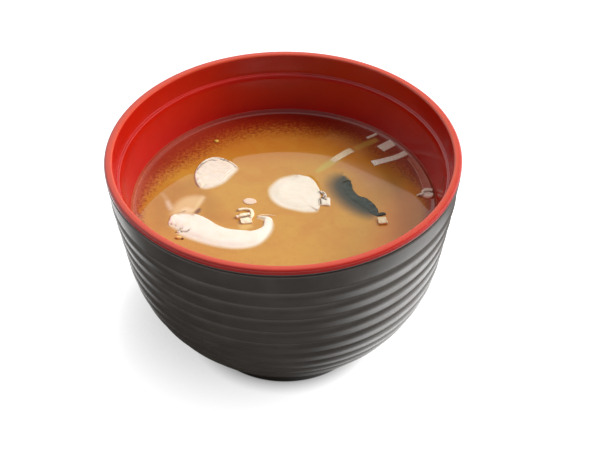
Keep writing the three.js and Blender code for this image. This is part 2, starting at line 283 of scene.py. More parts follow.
def ribTree(material, inputs):
    tree = bpy.data.node_groups.new("mouldedRibs", "GeometryNodeTree")
    tree.is_modifier = True
    for way in ("INPUT", "OUTPUT"):
        tree.interface.new_socket("Geometry", in_out=way, socket_type="NodeSocketGeometry")
    for name, number in inputs.items():
        kind = "NodeSocketInt" if isinstance(number, int) else "NodeSocketFloat"
        tree.interface.new_socket(name, in_out="INPUT", socket_type=kind)
    given = put(tree, "NodeGroupInput")
    value = {name: Reading(given.outputs[name]) for name in inputs}

    ribCount = value["Ribs"]
    grid = put(tree, "GeometryNodeMeshGrid", Size_X=1.0, Size_Y=1.0, Vertices_X=value["Around"] + 1,
               Vertices_Y=ribCount * value["Rows in a rib"] + 1)
    x, y, _ = partsOf(tree, put(tree, "GeometryNodeInputPosition").outputs[0])
    turn = (x + 0.5) * (2 * math.pi)
    downRibs = (y + 0.5) * ribCount
    # a little over, so that a rib's first row isn't rounded into the rib before
    rib = (downRibs + 0.0005).run("FLOOR")
    part = (downRibs - rib).run("MAXIMUM", 0.0)

    def crease(number):
        # the upper ribs are a little taller, and the last one ends at the foot
        fading = -0.5
        fade = (number * fading).run("EXPONENT")
        extra = value["Upper extra"] * (1 - fade) / (1 - math.exp(fading))
        return (value["First crease"] + value["Pitch"] * number + extra).run("MINIMUM", value["Wall end"])

    upper = crease(rib)
    down = part * part
    along = upper + (crease(rib + 1) - upper) * down
    # each rib starts with a rounded shoulder and leans in towards the next one
    shoulder = 1 - (down / value["Shoulder"]).run("MINIMUM", 1.0)
    lean = (down - value["Shoulder"]).run("MAXIMUM", 0.0) / (1 - value["Shoulder"])
    inset = value["Crease depth"] * (shoulder * shoulder + lean)
    draft, bend = value["Draft"], value["Bend"]
    straight = along.run("MINIMUM", value["Straight"])
    angle = draft + (along - value["Straight"]).run("MAXIMUM", 0.0) / bend
    draftSine, draftCosine = draft.run("SINE"), draft.run("COSINE")
    sine, cosine = angle.run("SINE"), angle.run("COSINE")
    radius = value["Wall top"] - straight * draftSine - bend * (draftCosine - cosine) - inset * cosine
    height = value["Base height"] - straight * draftCosine - bend * (sine - draftSine) + inset * sine
    place = put(tree, "ShaderNodeCombineXYZ")
    for slot, number in zip(place.inputs, (radius * turn.run("COSINE"), radius * turn.run("SINE"), height)):
        wire(slot, number * mm)
    moved = put(tree, "GeometryNodeSetPosition", Geometry=grid.outputs["Mesh"], Position=place.outputs[0])
    joined = put(tree, "GeometryNodeJoinGeometry", Geometry=given.outputs["Geometry"])
    wire(joined.inputs[0], moved.outputs[0])
    welded = put(tree, "GeometryNodeMergeByDistance", Geometry=joined.outputs[0], Distance=0.004 * mm)
    smoothed = put(tree, "GeometryNodeSetShadeSmooth", Geometry=welded.outputs[0])
    finished = put(tree, "GeometryNodeSetMaterial", Geometry=smoothed.outputs[0], Material=material)
    put(tree, "NodeGroupOutput", Geometry=finished.outputs[0])
    return tree


def madeByNodes(base, tree, inputs):
    # runs the tree on the base and keeps its result as a plain mesh
    modifier = base.modifiers.new(tree.name, "NODES")
    modifier.node_group = tree
    for socket in tree.interface.items_tree:
        if socket.item_type == "SOCKET" and socket.in_out == "INPUT" and socket.name in inputs:
            modifier[socket.identifier] = inputs[socket.name]
    graph = bpy.context.evaluated_depsgraph_get()
    mesh = bpy.data.meshes.new_from_object(base.evaluated_get(graph), depsgraph=graph)
    base.modifiers.remove(modifier)
    old = base.data
    base.data = mesh
    bpy.data.meshes.remove(old)


def makeShell():
    b = bowl
    end = outerWall["straight"]
    while wallPoint(outerWall, end)[0] > b["foot"] + b["footFlare"]:
        end += 0.1
    shoulder = b["lipBase"] - b["grooveHeight"]
    underside = b["floor"] - b["floorThickness"] - b["gap"]
    creased = -ribs["Crease depth"]
    recess, corner = b["footInner"] - b["recessRounding"], b["footRounding"]
    below = [(0, b["footRecess"]), (b["recessRing"], b["footRecess"]), (recess, b["footRecess"])]
    below += rounding(recess, b["footRecess"] - b["recessRounding"], b["recessRounding"], 90, 0, 4)[1:]
    below += rounding(b["footInner"] + corner, corner, corner, 180, 270, 4)
    below += rounding(b["foot"] - corner, corner, corner, -90, 0, 4)
    below += [wallPoint(outerWall, end, creased)]
    # the plain collar above the ribs leans in as they do
    collarRadius, collarHeight = wallPoint(outerWall, ribs["First crease"], creased)
    corner = b["shoulderRounding"]
    above = [(collarRadius + (b["shoulder"] - collarRadius) * part ** 0.8,
              collarHeight + (shoulder - corner - collarHeight) * part) for part in np.linspace(0, 0.96, 9)]
    above += rounding(b["shoulder"] - corner, shoulder - corner, corner, 0, 90, 5)
    above += [(b["groove"] + 0.1, shoulder), (b["groove"], shoulder + 0.1)]
    above += [(b["groove"], b["lipBase"] - b["gap"])]
    above += wallRun(outerWall, b["lipBase"] - b["gap"], underside, -b["shellThickness"], 16)
    above += [(0, underside)]
    points, faces = turned(below, b["around"])
    morePoints, moreFaces = turned(above, b["around"])
    faces += [tuple(index + len(points) for index in face) for face in moreFaces]
    shell = newObject("bowlShell", newMesh("bowlShell", points + morePoints, faces))
    inputs = {**ribs, "Around": b["around"], "Wall top": outerWall["top"], "Draft": outerWall["draft"],
              "Straight": outerWall["straight"], "Bend": outerWall["bend"], "Base height": b["lipBase"],
              "Wall end": end}
    madeByNodes(shell, ribTree(shellMaterial(), inputs), inputs)
    pointFacesOut(shell.data, math.radians(50))
    fit(shell, ("bowl_shell",))
    print("shell", len(shell.data.vertices), "points")


# The red liner with its lip and ledge
# the lip colour is a painted highlight on the lip's top
linerLook = {"main": (0.50, 0.0095, 0.003), "mottle": (0.46, 0.0075, 0.0025), "lipHighlight": (0.66, 0.062, 0.022)}


def linerMaterial():
    material, tree, shader = newMaterial("redLacquer", Specular_IOR_Level=0.4, IOR=1.5)
    paint(shader, grainOf(tree, 14).between(0.35, 0.7), linerLook, "lipHighlight")
    wire(shader.inputs["Roughness"], grainOf(tree, 5).between(0.3, 0.7, 0.16, 0.24))
    bumpFrom(shader, grainOf(tree, 3.5, detail=1), 0.15, 0.02)
    return material


def makeLiner():
    b = bowl
    ledge = b["lipBase"] - b["ledgeDepth"]
    ledgeInner = wallPoint(innerWall, alongAtHeight(innerWall, ledge))[0]
    ledgeOuter = ledgeInner + b["ledgeWidth"]
    lipSide = b["height"] - b["lipRounding"]
    underside = b["floor"] - b["floorThickness"]
    corner, hollow, edge = b["lipCorner"], b["ledgeHollow"], b["ledgeRounding"]
    profile = [(0, underside)]
    profile += wallRun(innerWall, b["lipBase"], underside, b["linerThickness"], 16)[::-1]
    profile += rounding(b["radius"] - corner, b["lipBase"] + corner, corner, -90, 0, 4)
    profile += rounding(b["radius"] - b["lipRounding"], lipSide, b["lipRounding"], 0, 90, 9)
    profile += rounding(b["lipInner"] + b["lipRounding"], lipSide, b["lipRounding"], 90, 180, 9)
    for part in np.linspace(0.15, 1, 6):
        profile.append((b["lipInner"] + (ledgeOuter - b["lipInner"]) * part,
                        lipSide + (ledge + hollow + 0.15 - lipSide) * part))
    profile += rounding(ledgeOuter - hollow, ledge + hollow, hollow, 0, -90, 5)
    profile += rounding(ledgeInner + edge, ledge - edge, edge, 90, 172, 7)
    profile += wallRun(innerWall, ledge - edge - 0.2, b["floor"], 0, 60)
    profile += [(b["floorRing"], b["floor"]), (0, b["floor"])]
    points, faces = turned(profile, b["around"])
    # the lip's top is painted paler, a painted highlight, but not its outer side
    x, y, z = np.array(points).T
    lipHighlight = eased(b["height"] - 0.9, b["height"] - 0.1, z)
    lipHighlight *= 1 - eased(b["radius"] - 1.3, b["radius"] - 0.1, np.hypot(x, y))
    newPiece("bowlLiner", points, faces, linerMaterial(), ("bowl_liner",), {"lipHighlight": lipHighlight})
    print("liner", len(points), "points")


# Pieces that lie along a spine: rows of x, y and half width

def spineOf(rows, steps):
    # a smooth curve through the rows in equal steps, and its direction at each
    rows = np.array(rows, float)
    ends = np.vstack([2 * rows[0] - rows[1], rows, 2 * rows[-1] - rows[-2]])
    fine = []
    for a, b, c, d in zip(ends, ends[1:], ends[2:], ends[3:]):
        before, here, after = [np.linalg.norm(q - p) ** 0.5 for p, q in ((a, b), (b, c), (c, d))]
        leave = ((b - a) / before - (c - a) / (before + here) + (c - b) / here) * here
        arrive = ((c - b) / here - (d - b) / (here + after) + (d - c) / after) * here
        t = np.linspace(0, 1, 40, endpoint=False)[:, None]
        fine.append(b + leave * t + (3 * (c - b) - 2 * leave - arrive) * t ** 2
                    + (2 * (b - c) + leave + arrive) * t ** 3)
    fine = np.vstack(fine + [rows[-1:]])
    run = np.r_[0, np.cumsum(np.linalg.norm(np.diff(fine, axis=0), axis=1))]
    at = np.linspace(0, run[-1], steps + 1)
    places = np.stack([np.interp(at, run, column) for column in fine.T], axis=1)
    forward = np.gradient(places[:, :2], axis=0)
    forward /= np.linalg.norm(forward, axis=1)[:, None]
    return places, forward


def outlineOf(piece, steps=60):
    places, forward = spineOf(piece["rows"], steps)
    side = sidesOf(piece, forward)
    left = places[:, :2] + side * places[:, 2:]
    right = places[:, :2] - side * places[:, 2:]
    return np.vstack([left, right[::-1]])


def sidesOf(piece, forward):
    if piece.get("levelSections"):
        return np.tile([-1.0, 0.0], (len(forward), 1))
    return np.stack([-forward[:, 1], forward[:, 0]], axis=1)


def spread(places, side, offsets):
    # points at these distances to the side of each place
    return (places[:, None, :2] + side[:, None, :] * offsets[:, :, None]).reshape(-1, 2)


def reachTo(places, outline, closed=True):
    # distance from an outline, less than 0 inside it, and the way out across its nearest stretch
    best = np.full(len(places), 1e9)
    outwards = np.zeros((len(places), 2))
    inside = np.zeros(len(places), bool)
    others = np.roll(outline, -1, axis=0) if closed else outline[1:]
    spin = np.sign(np.sum(outline[:-1, 0] * outline[1:, 1] - outline[1:, 0] * outline[:-1, 1]))
    for a, b in zip(outline, others):
        edge = b - a
        length = math.hypot(*edge)
        if length < 1e-9:
            continue
        t = np.clip((places - a) @ edge / length ** 2, 0, 1)
        offset = places - a - t[:, None] * edge
        distance = np.hypot(offset[:, 0], offset[:, 1])
        nearer = distance < best
        best[nearer] = distance[nearer]
        outwards[nearer] = spin * np.array([edge[1], -edge[0]]) / length
        if closed and a[1] != b[1]:
            crosses = (places[:, 1] < a[1]) != (places[:, 1] < b[1])
            inside ^= crosses & (places[:, 0] < a[0] + (places[:, 1] - a[1]) * edge[0] / edge[1])
    return np.where(inside, -best, best), outwards


def wobble(places, size, seed):
    # smooth noise from -1 to 1, the same on every run
    return np.array([noise.noise((x / size, y / size, seed * 7.3)) for x, y in places])


def brothHeight(places):
    # the broth climbs a little where it meets the wall
    fromWall = np.maximum(wallRadius - np.hypot(places[:, 0], places[:, 1]), 0)
    return broth["level"] + broth["wallRise"] * np.exp(-fromWall / broth["reach"])


wallRadius = wallPoint(innerWall, alongAtHeight(innerWall, broth["level"] + broth["wallRise"]))[0]

# Mushroom slices. Edges that face "crispTowards" stand out of the broth, the others slide under it.
# "dips" are spots, each with its size, where a crisp edge slides under too.
mushroomLeft = {
    "rows": [(-25.2, 6.4, 0.6), (-24.9, 7.2, 2.4), (-23.9, 9.6, 4.7), (-23.1, 13.2, 6.2),
             (-21.9, 17, 6.9), (-22.3, 20.2, 5.1), (-22.7, 22.2, 2.8), (-22.9, 23.2, 0.6)],
    "levelSections": True, "rise": 0.4, "sink": 2.4, "steps": 90, "around": 72,
    "dip": 0.25, "wide": 3.0, "blur": 0.55, "crispTowards": (-0.6, 0.8), "crispRange": (-0.5, 0.2),
}
mushroomCentre = {
    "rows": [(8.1, -5.4, 1.5), (7.6, -4.8, 3.2), (5.3, -2.7, 6.1), (3.9, 0.5, 7.8), (3.4, 3.5, 8.4),
             (3.1, 6.5, 8.2), (3.3, 9.5, 6.9), (3.6, 12.1, 4.9), (3.8, 13.8, 0.8)],
    "levelSections": True, "rise": 0.36, "sink": 3.2, "steps": 100, "around": 84,
    "dip": 0.25, "wide": 4.0, "blur": 0.6, "crispTowards": (0.85, 0.5), "crispRange": (0.3, 0.85),
}
mushroomFrill = {
    "rows": [(10.6, 4.5, 0.7), (12.5, 4.2, 0.7), (13.1, 2.7, 0.6), (12.3, 1.5, 0.6)],
    "rise": 1, "sink": 1, "steps": 30, "around": 24,
    "dip": 0, "wide": 0.6, "crispTowards": (0, 1), "crispRange": (-2, -1),
}
mushroomFlap = {
    "rows": [(10.8, -0.5, 1.6), (12.6, -0.4, 1.8), (14.0, -0.3, 2.1), (14.8, -0.3, 1.9)],
    "rise": 0.7, "sink": 1, "steps": 24, "around": 32,
    "dip": 0, "wide": 1, "blur": 0.5, "crispTowards": (0, 1), "crispRange": (-2, -0.6),
}
mushroomFront = {
    "rows": [(-36.2, -10, 0.6), (-35.6, -10, 2), (-34.3, -9.8, 3.5), (-32.1, -9.8, 4.9),
             (-28.2, -12.1, 5.5), (-23.6, -15.2, 4.9), (-19.1, -17.3, 4.5), (-14.2, -18.2, 4.4),
             (-9.9, -17.8, 3.9), (-7, -15.9, 2.8), (-5, -13, 1.9), (-4.7, -10.4, 1.6),
             (-5.4, -8.5, 1.3), (-7, -7.8, 0.7), (-8.5, -7.8, 0.25)],
    "rise": 0.5, "sink": 2.8, "steps": 200, "around": 64,
    "dip": 0.25, "wide": 3.2, "blur": 0.6, "crispTowards": (-0.35, 0.94), "crispRange": (-0.5, 0.3),
    "dips": [(-31.2, -5.2, 3.8)],
}
edgeRounding, waterline = 0.6, 0.3


def loft(piece):
    # rings across the spine: each point's place, how far along and across it is, and up or down
    roundness = piece.get("roundness", 0.65)
    places, forward = spineOf(piece["rows"], piece["steps"])
    side = sidesOf(piece, forward)
    angle = 2 * np.pi * (np.arange(piece["around"]) + 0.5) / piece["around"]
    across = np.sign(np.cos(angle)) * np.abs(np.cos(angle)) ** roundness
    upright = np.sign(np.sin(angle)) * np.abs(np.sin(angle)) ** roundness
    width = places[:, 2:]
    rings = len(places), piece["around"]
    part = {"flat": spread(places, side, width * across), "rings": rings}
    for key, values in (("along", np.linspace(0, 1, len(places))[:, None]), ("across", across[None, :]),
                        ("upright", upright[None, :]), ("width", width)):
        part[key] = np.broadcast_to(values, rings).ravel()
    part["taper"] = np.minimum(1, part["width"] / piece.get("fullWidth", 3)) ** 0.5
    return part


def loftFaces(part, start):
    rows, around = part["rings"]
    rings = (start + np.arange(rows * around)).reshape(rows, around).tolist()
    return ringFaces(rings) + [tuple(rings[0][::-1]), tuple(rings[-1])]


def newLofts(name, pieces, material, nodes, surfaceOf):
    # joins the pieces in one mesh; surfaceOf gives each one's height over the broth and its marks
    points, faces, marks = [], [], []
    for index, piece in enumerate(pieces):
        part = loft(piece)
        height, found = surfaceOf(piece, part, index)
        faces += loftFaces(part, sum(len(done) for done in points))
        points.append(np.c_[part["flat"], brothHeight(part["flat"]) + height])
        marks.append(found)
    newPiece(name, np.vstack(points), faces, material, nodes,
             {key: np.concatenate([found[key] for found in marks]) for key in marks[0]})


def sinkingAt(reach):
    # 0 where a slice shows its own colour, 1 where the broth hides most of it
    return eased(-1.5, 0.25, reach)


def slidesUnder(piece, outwards, places):
    # 1 where the edge slides under the broth, 0 where it stands out
    low, high = piece["crispRange"]
    under = 1 - eased(low, high, outwards @ np.array(piece["crispTowards"]))
    for x, y, size in piece.get("dips", ()):
        near = 1 - eased(0.6 * size, size, np.hypot(places[:, 0] - x, places[:, 1] - y))
        under = np.maximum(under, near)
    return under


def sliceHeight(piece, part):
    # height over the broth: a shallow slope at edges that slide under, a rounded edge elsewhere
    reach, outwards = reachTo(part["flat"], outlineOf(piece, 120))
    inside = np.maximum(-reach, 0)
    under = slidesUnder(piece, outwards, part["flat"])
    wide = piece["wide"] if "levelSections" in piece else np.minimum(piece["wide"], 0.9 * part["width"])
    slope = eased(waterline, waterline + wide, inside)
    rounded = np.sqrt(1 - (1 - np.minimum(inside / edgeRounding, 1)) ** 2)
    top = piece["rise"] * part["taper"] * (under * slope + (1 - under) * rounded)
    top -= under * (0.03 + piece["dip"] * (1 - eased(0, waterline, inside)))
    low = part["upright"] * piece["sink"] * part["taper"] - piece["dip"] * under
    return np.where(part["upright"] > 0, top, low), reach, outwards, under


gills = {"turn": math.radians(34), "scale": 0.4, "strength": 0.7}


def fleshMaterial(name, look):
    material, tree, shader = newMaterial(
        name, Specular_IOR_Level=0.5, IOR=1.38, Roughness=0.3, Subsurface_Weight=0.2,
        Subsurface_Scale=1.0 * mm, Subsurface_Radius=(1.0, 0.7, 0.45))
    relief, layers = grainOf(tree, 0.7), {}
    if "gills" in look:
        wave = put(tree, "ShaderNodeTexWave", Vector=placeOf(tree, gills["turn"]), Scale=gills["scale"],
                   Distortion=4.5, Detail=3.0, Detail_Scale=0.5)
        fade = Reading(wave.outputs["Fac"]).between(0.5, 1.0) * mark(tree, "gills")
        layers["gills"] = fade * gills["strength"]
        relief = relief + fade
    cloud = grainOf(tree, 2.6, detail=4)
    paint(shader, cloud.between(0.4, 0.75), look, "skin", "crackShade", "sinking", **layers)
    bumpFrom(shader, relief, 0.3, 0.06)
    return material


def lineMark(places, lines, width):
    # 1 on the lines, fading to 0 at their width
    amount = np.zeros(len(places))
    for line in lines:
        distance, _ = reachTo(places, np.array(line, float), closed=False)
        amount = np.maximum(amount, np.exp(-(distance / width) ** 2))
    return amount


def makeSlice(name, pieces, material, node, shape, cracks=(), crackWidth=0.2, skinLine=(0.1, 0.3, 0.7)):
    # the skin line is given by its distance from the edge, its width and its strength
    inset, lineWidth, strength = skinLine

    def surfaceOf(piece, part, index):
        flat = part["flat"]
        height, reach, outwards, under = sliceHeight(piece, part)
        height += (part["upright"] > 0) * shape(flat, reach, outwards) * eased(0, 0.8, -reach)
        skin = np.exp(-((reach + inset) / lineWidth) ** 2) * eased(0.0, 0.5, 1 - under)
        return height, {
            "sinking": sinkingAt(reach) * under,
            "skin": skin * strength * eased(-0.25, 0.35, wobble(flat, 1.7, 8)),
            "crackShade": lineMark(flat, cracks, crackWidth),
            "gills": eased(-26, -18, flat[:, 0]) * eased(0.3, 2.0, -reach),
        }

    newLofts(name, pieces, material, (node,), surfaceOf)


# the dark crack colour is painted shade in the slices' cracks and gaps
fleshLook = {
    "main": (0.89, 0.82, 0.68), "mottle": (0.86, 0.78, 0.63), "skin": (0.56, 0.32, 0.15),
    "crackShade": (0.10, 0.05, 0.03), "sinking": (0.64, 0.42, 0.18),
}
paleLook = {**fleshLook, "main": (0.92, 0.88, 0.76), "mottle": (0.90, 0.84, 0.69)}
gilledLook = {**fleshLook, "gills": (0.78, 0.50, 0.38)}
# the cracks, drawn dark with painted shade
cracksLeft = [
    [(-28.5, 16.0), (-27.9, 17.6), (-27.1, 19.5), (-25.7, 20.8), (-23.8, 21.3), (-22.4, 20.8)],
    [(-21.2, 21.9), (-20.2, 21.3), (-19.3, 21.8), (-18.5, 20.8), (-17.4, 20.9), (-16.8, 19.8), (-15.9, 19.2),
     (-15.3, 18.0)],
]
cracksFront = [
    [(-34.9, -13.6), (-33.8, -14.2), (-32.6, -13.4), (-31.6, -13.2)],
    [(-32.7, -14.0), (-31.4, -14.7), (-30.0, -14.5), (-29.2, -13.7)],
    [(-35.3, -11.0), (-34.6, -11.9), (-33.9, -11.7)],
]
cracksFrill = [
    [(11.4, 4.6), (12.1, 3.2), (12.1, 2.0), (12.6, 1.0), (13.4, 0.5)],
    [(12.4, 4.3), (12.9, 3.4)], [(13.2, 2.5), (12.7, 1.5)], [(11.5, 1.0), (11.7, -1.6)],
]


def makeMushrooms():
    def leftShape(flat, reach, outwards):
        # a raised flap of skin along the far edge, and faint ridges
        flap = 0.35 * np.exp(-((reach + 0.9) / 0.35) ** 2) * eased(0.1, 0.7, outwards[:, 1])
        return 0.12 * wobble(flat, 1.4, 1) - flap

    def centreShape(flat, reach, outwards):
        ridges = 0.1 * wobble(flat, 4.5, 2) + 0.03 * wobble(flat, 1.1, 3)
        return ridges - 0.25 * lineMark(flat, cracksFrill, 0.25)

    def frontShape(flat, reach, outwards):
        return 0.1 * wobble(flat, 3.2, 4) - 0.3 * lineMark(flat, cracksFront, 0.3)

    makeSlice("mushroomSliceLeft", [mushroomLeft], fleshMaterial("mushroomGills", gilledLook),
              "mushroom_slice_left", leftShape, cracksLeft, 0.17, skinLine=(0.95, 0.38, 0.5))
    makeSlice("mushroomSliceCentre", [mushroomCentre, mushroomFrill, mushroomFlap],
              fleshMaterial("mushroomFlesh", fleshLook),
              "mushroom_slice_centre", centreShape, cracksFrill, 0.3)
    makeSlice("mushroomSliceFront", [mushroomFront], fleshMaterial("mushroomPale", paleLook),
              "mushroom_slice_front", frontShape, cracksFront)
    print("mushroom slices")


# The seaweed leaf lies just under the broth, with its far edge out of it.
wakame = {
    "rows": [(19.6, 13.1, 0.3), (19.7, 12.2, 1.7), (19.3, 8.8, 2.5), (19.9, 4.9, 2.5), (22, 1.3, 2.4),
             (24.5, -1.1, 3), (26.6, -3.7, 2.8), (28.3, -6.1, 2), (29.6, -7.3, 0.9)],
    "steps": 120, "across": 36, "thickness": 0.35,
    "main": (0.034, 0.046, 0.032), "mottle": (0.012, 0.024, 0.018), "sinking": (0.040, 0.046, 0.026),
}


def makeWakame():
    material, tree, shader = newMaterial("seaweedLeaf", Roughness=0.22, IOR=1.4, Specular_IOR_Level=0.5)
    cloud = grainOf(tree, 1.6, detail=4, Distortion=0.6)
    paint(shader, cloud.between(0.38, 0.68), wakame, "sinking")
    bumpFrom(shader, grainOf(tree, 0.9), 0.5, 0.12)
    places, forward = spineOf(wakame["rows"], wakame["steps"])
    side = sidesOf(wakame, forward)
    part = np.linspace(-1, 1, wakame["across"] + 1)
    frill = 1 + 0.1 * wobble(places[:, :2], 1.3, 6)[:, None] * (part > 0)
    flat = spread(places, side, places[:, 2:] * part * frill)
    across = np.tile(part, len(places))
    wave = 0.16 * wobble(flat, 2.2, 5)
    # the side towards +X stands out, the other one slides under
    height = 0.1 + wave - 0.6 * eased(-0.1, 0.9, -across)
    tips = np.repeat(np.linspace(0, 1, len(places)), len(part))
    height -= 0.6 * (1 - eased(0.0, 0.22, tips))
    top = np.c_[flat, broth["level"] + height + 0.1]
    low = top - (0, 0, wakame["thickness"])
    # quads above and below, and a rim all round
    count = len(top)
    grid = np.arange(count).reshape(len(places), -1)
    above = np.stack([grid[:-1, :-1], grid[:-1, 1:], grid[1:, 1:], grid[1:, :-1]], axis=2).reshape(-1, 4)
    below = above[:, [0, 3, 2, 1]] + count
    rim = np.r_[grid[0], grid[1:, -1], grid[-1, -2::-1], grid[-2:0:-1, 0]]
    after = np.roll(rim, -1)
    faces = [*np.hstack([above, below]).reshape(-1, 4).tolist(),
             *np.stack([rim, rim + count, after + count, after], axis=1).tolist()]
    sinking = 1 - eased(-0.15, 0.15, height)
    newPiece("wakameLeaf", np.vstack([top, low]), faces, material, ("wakame_leaf",),
             {"sinking": np.r_[sinking, sinking]})
    print("seaweed")


# Leek: strips, a band along the wall, and small bits
shred = {"rise": 0.35, "sink": 0.5, "roundness": 0.35, "fullWidth": 0.1, "steps": 40, "around": 28}
lump = {"rise": 0.8, "sink": 0.8, "roundness": 0.55, "fullWidth": 1, "steps": 30, "around": 28}
leekLong = {**shred, "rows": [(10, 14.6, 1.1), (15.7, 20.6, 1.2), (23.1, 27.2, 1.3), (30.4, 31.9, 1.1)],
            "steps": 90, "lift": [(0, -0.7), (0.28, -0.5), (0.37, 0), (0.62, 0.05), (0.68, -0.5), (1, -0.7)]}
leekWide = {**shred, "rows": [(32.1, 27.3, 1.8), (34.4, 29.1, 1.8), (36.4, 30.6, 1.7)]}
leekBent = {**shred, "rows": [(29.1, 19.4, 1.4), (33.3, 21, 1.2), (37.3, 22.8, 1.2), (40.5, 25, 1.2)],
            "steps": 60}
leekSmall = {**shred, "rows": [(27.8, 33.2, 0.5), (29.5, 34.3, 0.5), (31.2, 35.5, 0.5)]}
leekBit = {**lump, "rows": [(-13, 0.6, 0.4), (-12.1, 0.4, 1.3), (-10.9, 0.2, 1.6), (-9.7, 0, 1.3),
                            (-8.8, -0.2, 0.4)], "rise": 0.25}


def bandRow(turn, half):
    # the band's outer side keeps to the wall as it widens
    radius, turn = 46.95 - 0.9 * (half - 0.9), math.radians(turn)
    return radius * math.cos(turn), radius * math.sin(turn), half


leekBand = {**shred, "rise": 0.4, "steps": 70, "rows": [
    bandRow(28.3, 0.9), bandRow(22.9, 1.05), bandRow(17.5, 1.2), bandRow(12, 1.35), bandRow(7.2, 1.5)]}
leekCurl = [
    {**lump, "rows": [(44.3, 4.1, 0.6), (45.9, 4.6, 1.3), (47.6, 4.4, 0.8)], "rise": 1},
    {**lump, "rows": [(42.5, 2.5, 0.3), (44.7, 2.9, 1.1), (46.5, 2.7, 1.4), (47.7, 2.9, 0.7)]},
]
leekCrumbs = [
    {**lump, "rows": [(-14.5, -4.3, 0.45), (-12.5, -3.8, 0.5), (-10.5, -4.4, 0.6), (-9.9, -6.4, 0.6),
                      (-10.5, -8.2, 0.6)]},
    {**lump, "rows": [(-15, -7.9, 0.5), (-13.1, -7.1, 0.8), (-10.7, -6.4, 0.6)], "rise": 1},
    {**lump, "rows": [(-13.5, -9.8, 1.2), (-11.8, -9.4, 1.5), (-10, -9.2, 1.4)], "rise": 0.6},
]


# the crack colour is painted shade in the cracks of the leeks and crumbs
def leekLook(main, mottle, sinking, crackShade=(0.22, 0.07, 0.03)):
    return {"main": main, "mottle": mottle, "sinking": sinking, "crackShade": crackShade}


leekLooks = {
    "Long": leekLook((0.78, 0.64, 0.42), (0.62, 0.42, 0.20), (0.52, 0.36, 0.09)),
    "Bit": leekLook((0.84, 0.66, 0.50), (0.78, 0.58, 0.42), (0.66, 0.44, 0.24)),
    "Pale": leekLook((0.98, 0.93, 0.80), (0.84, 0.68, 0.46), (0.62, 0.34, 0.13)),
    "Wet": leekLook((0.50, 0.15, 0.09), (0.40, 0.08, 0.04), (0.34, 0.06, 0.03)),
    "White": leekLook((0.95, 0.86, 0.64), (0.86, 0.68, 0.40), (0.72, 0.45, 0.18), (0.14, 0.06, 0.03)),
}
# cracks drawn dark with painted shade
cracksCurl = [[(43.0, 2.3), (44.3, 2.2), (44.8, 2.8)], [(45.0, 3.7), (46.4, 3.9), (47.4, 3.6)]]
cracksCrumbs = [[(-14.6, -5.4), (-12.6, -5.0), (-11.2, -5.3)], [(-12.9, -8.2), (-11.2, -7.6), (-10.6, -7.6)],
                [(-14.9, -6.9), (-14.2, -7.3)]]


def leekMaterial(name, look):
    material, tree, shader = newMaterial(name, Roughness=0.25, IOR=1.38, Subsurface_Weight=0.15,
                                         Subsurface_Scale=0.6 * mm, Subsurface_Radius=(1.0, 0.8, 0.5))
    fibres = noiseOn(tree, mark(tree, "strand", "Vector"), 3.0, Detail=3.0)
    paint(shader, fibres.between(0.42, 0.64) * 0.6, look, "crackShade", "sinking")
    bumpFrom(shader, fibres, 0.4, 0.08)
    return material


def makeLeek(name, pieces, material, *nodes, cracks=(), crackWidth=0.25, sinkRange=(-0.1, 0.2), bumpy=0.05,
             grain=(0.12, 1.0), slot="leek"):
    # the grain's two numbers stretch its fibres along and across the piece
    def surfaceOf(piece, part, index):
        flat = part["flat"]
        height = part["upright"] * np.where(part["upright"] > 0, piece["rise"], piece["sink"]) * part["taper"]
        height += np.interp(part["along"], *zip(*piece.get("lift", [(0, 0), (1, 0)])))
        height += (height > 0) * bumpy * wobble(flat, 0.8, 11 + index)
        rows = np.array(piece["rows"])
        length = np.linalg.norm(np.diff(rows[:, :2], axis=0), axis=1).sum()
        strand = (part["along"] * length * grain[0], part["across"] * rows[:, 2].mean() * grain[1],
                  np.full(len(flat), index))
        return height, {"strand": np.stack(strand, axis=1), "sinking": 1 - eased(*sinkRange, height),
                        "crackShade": lineMark(flat, cracks, crackWidth)}

    newLofts(name, pieces, material, nodes, surfaceOf)


def makeLeeks():
    looks = {name: leekMaterial("leek" + name, look) for name, look in leekLooks.items()}
    makeLeek("leekShredLong", [leekLong], looks["Long"], "leek_shred_long")
    makeLeek("leekShredWide", [leekWide], looks["Pale"], "leek_shred_wide", grain=(0.7, 0.15))
    makeLeek("leekShredBent", [leekBent], looks["Pale"], "leek_shred_bent", grain=(0.6, 0.2))
    makeLeek("leekShredSmall", [leekSmall], looks["Pale"], "leek_shred_small")
    makeLeek("leekBit", [leekBit], looks["Bit"], "leek_bit", sinkRange=(0.0, 0.25))
    makeLeek("leekBand", [leekBand], looks["Wet"], "leek_band", sinkRange=(-0.2, 0.3))
    makeLeek("leekCurl", leekCurl, looks["Pale"], "leek_curl", cracks=cracksCurl, crackWidth=0.3)
    makeLeek("leekCrumbs", leekCrumbs, looks["White"], "leek_crumbs", cracks=cracksCrumbs, crackWidth=0.28,
             bumpy=0.14)
    print("leek")


